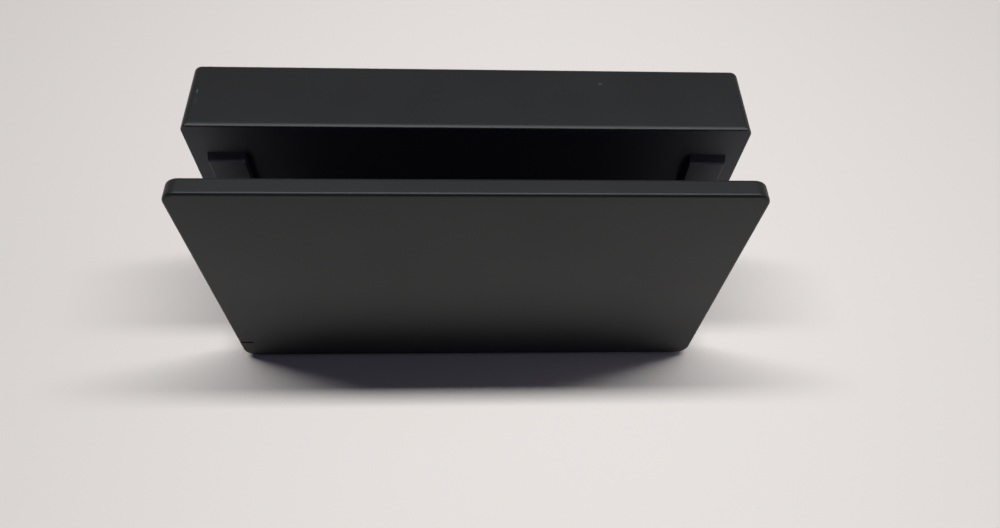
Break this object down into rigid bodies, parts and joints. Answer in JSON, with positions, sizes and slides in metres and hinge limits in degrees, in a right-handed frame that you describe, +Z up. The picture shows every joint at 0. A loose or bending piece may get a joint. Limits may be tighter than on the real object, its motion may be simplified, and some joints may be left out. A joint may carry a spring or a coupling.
{
  "type": "handheld console dock",
  "caption": "Upright dock for a handheld game console: thin front panel, open slot with a tilting plug, deep rear housing with a hinged back door over a cable bay.",
  "frame": {"origin": "on the table, under the middle of the dock's box", "axes": "+X to the right seen from the front, +Y to the back, +Z up"},
  "size_m": [0.173, 0.054, 0.104],
  "materials": {
    "case_plastic": "fine satin moulding, near black",
    "inner_plastic": "fine matt moulding, near black",
    "smoked_lens": "smoked clear plastic",
    "circuit_board": "green solder mask",
    "lamp": "clear lamp body, unlit",
    "flat_cable": "pale flat cable",
    "socket_metal": "plated sheet steel",
    "shield_metal": "tinned sheet steel",
    "chip_resin": "black moulded resin",
    "connector_plastic": "ivory connector plastic",
    "spring_steel": "bare spring strip",
    "screw_steel": "blackened steel",
    "foot_rubber": "black rubber",
    "holder_plastic": "black moulded holder",
    "plug_metal": "plated plug shell"
  },
  "bodies": {
    "housing": {"front_panel": "case_plastic", "front_liner": "inner_plastic", "light_pipe": "smoked_lens", "led_board": "circuit_board", "indicator_led": "lamp", "led_lead": "flat_cable", "base_tray": "inner_plastic", "base_plate": "inner_plastic", "rear_shell": "case_plastic", "back_plate": "inner_plastic", "main_board": "circuit_board", "data_socket_lower": "socket_metal", "data_socket_upper": "socket_metal", "data_socket_rear": "socket_metal", "video_socket": "socket_metal", "power_socket": "socket_metal", "shield_can": "shield_metal", "hub_chip": "chip_resin", "video_chip": "chip_resin", "ribbon_connector": "connector_plastic", "lead_connector": "connector_plastic", "ribbon_cable": "flat_cable", "plug_springs": "spring_steel", "case_screws": "screw_steel", "board_screws": "screw_steel", "tray_screws": "screw_steel", "base_screws": "screw_steel", "rubber_feet": "foot_rubber"},
    "door": {"rear_door": "case_plastic"},
    "plug": {"plug_carrier": "holder_plastic", "console_plug": "plug_metal", "plug_board": "circuit_board", "plug_connector": "connector_plastic"}
  },
  "joints": [
    {"name": "door_hinge", "type": "hinge", "parent": "housing", "child": "door", "pos_m": [-0.0822, 0.0255, 0.0515], "axis": [0, 0, 1], "range_deg": [0, 105]},
    {"name": "plug_tilt", "type": "hinge", "parent": "housing", "child": "plug", "pos_m": [0, -0.01045, 0.0096], "axis": [1, 0, 0], "range_deg": [-3, 3], "stiffness_Nm_per_rad": 0.06}
  ]
}
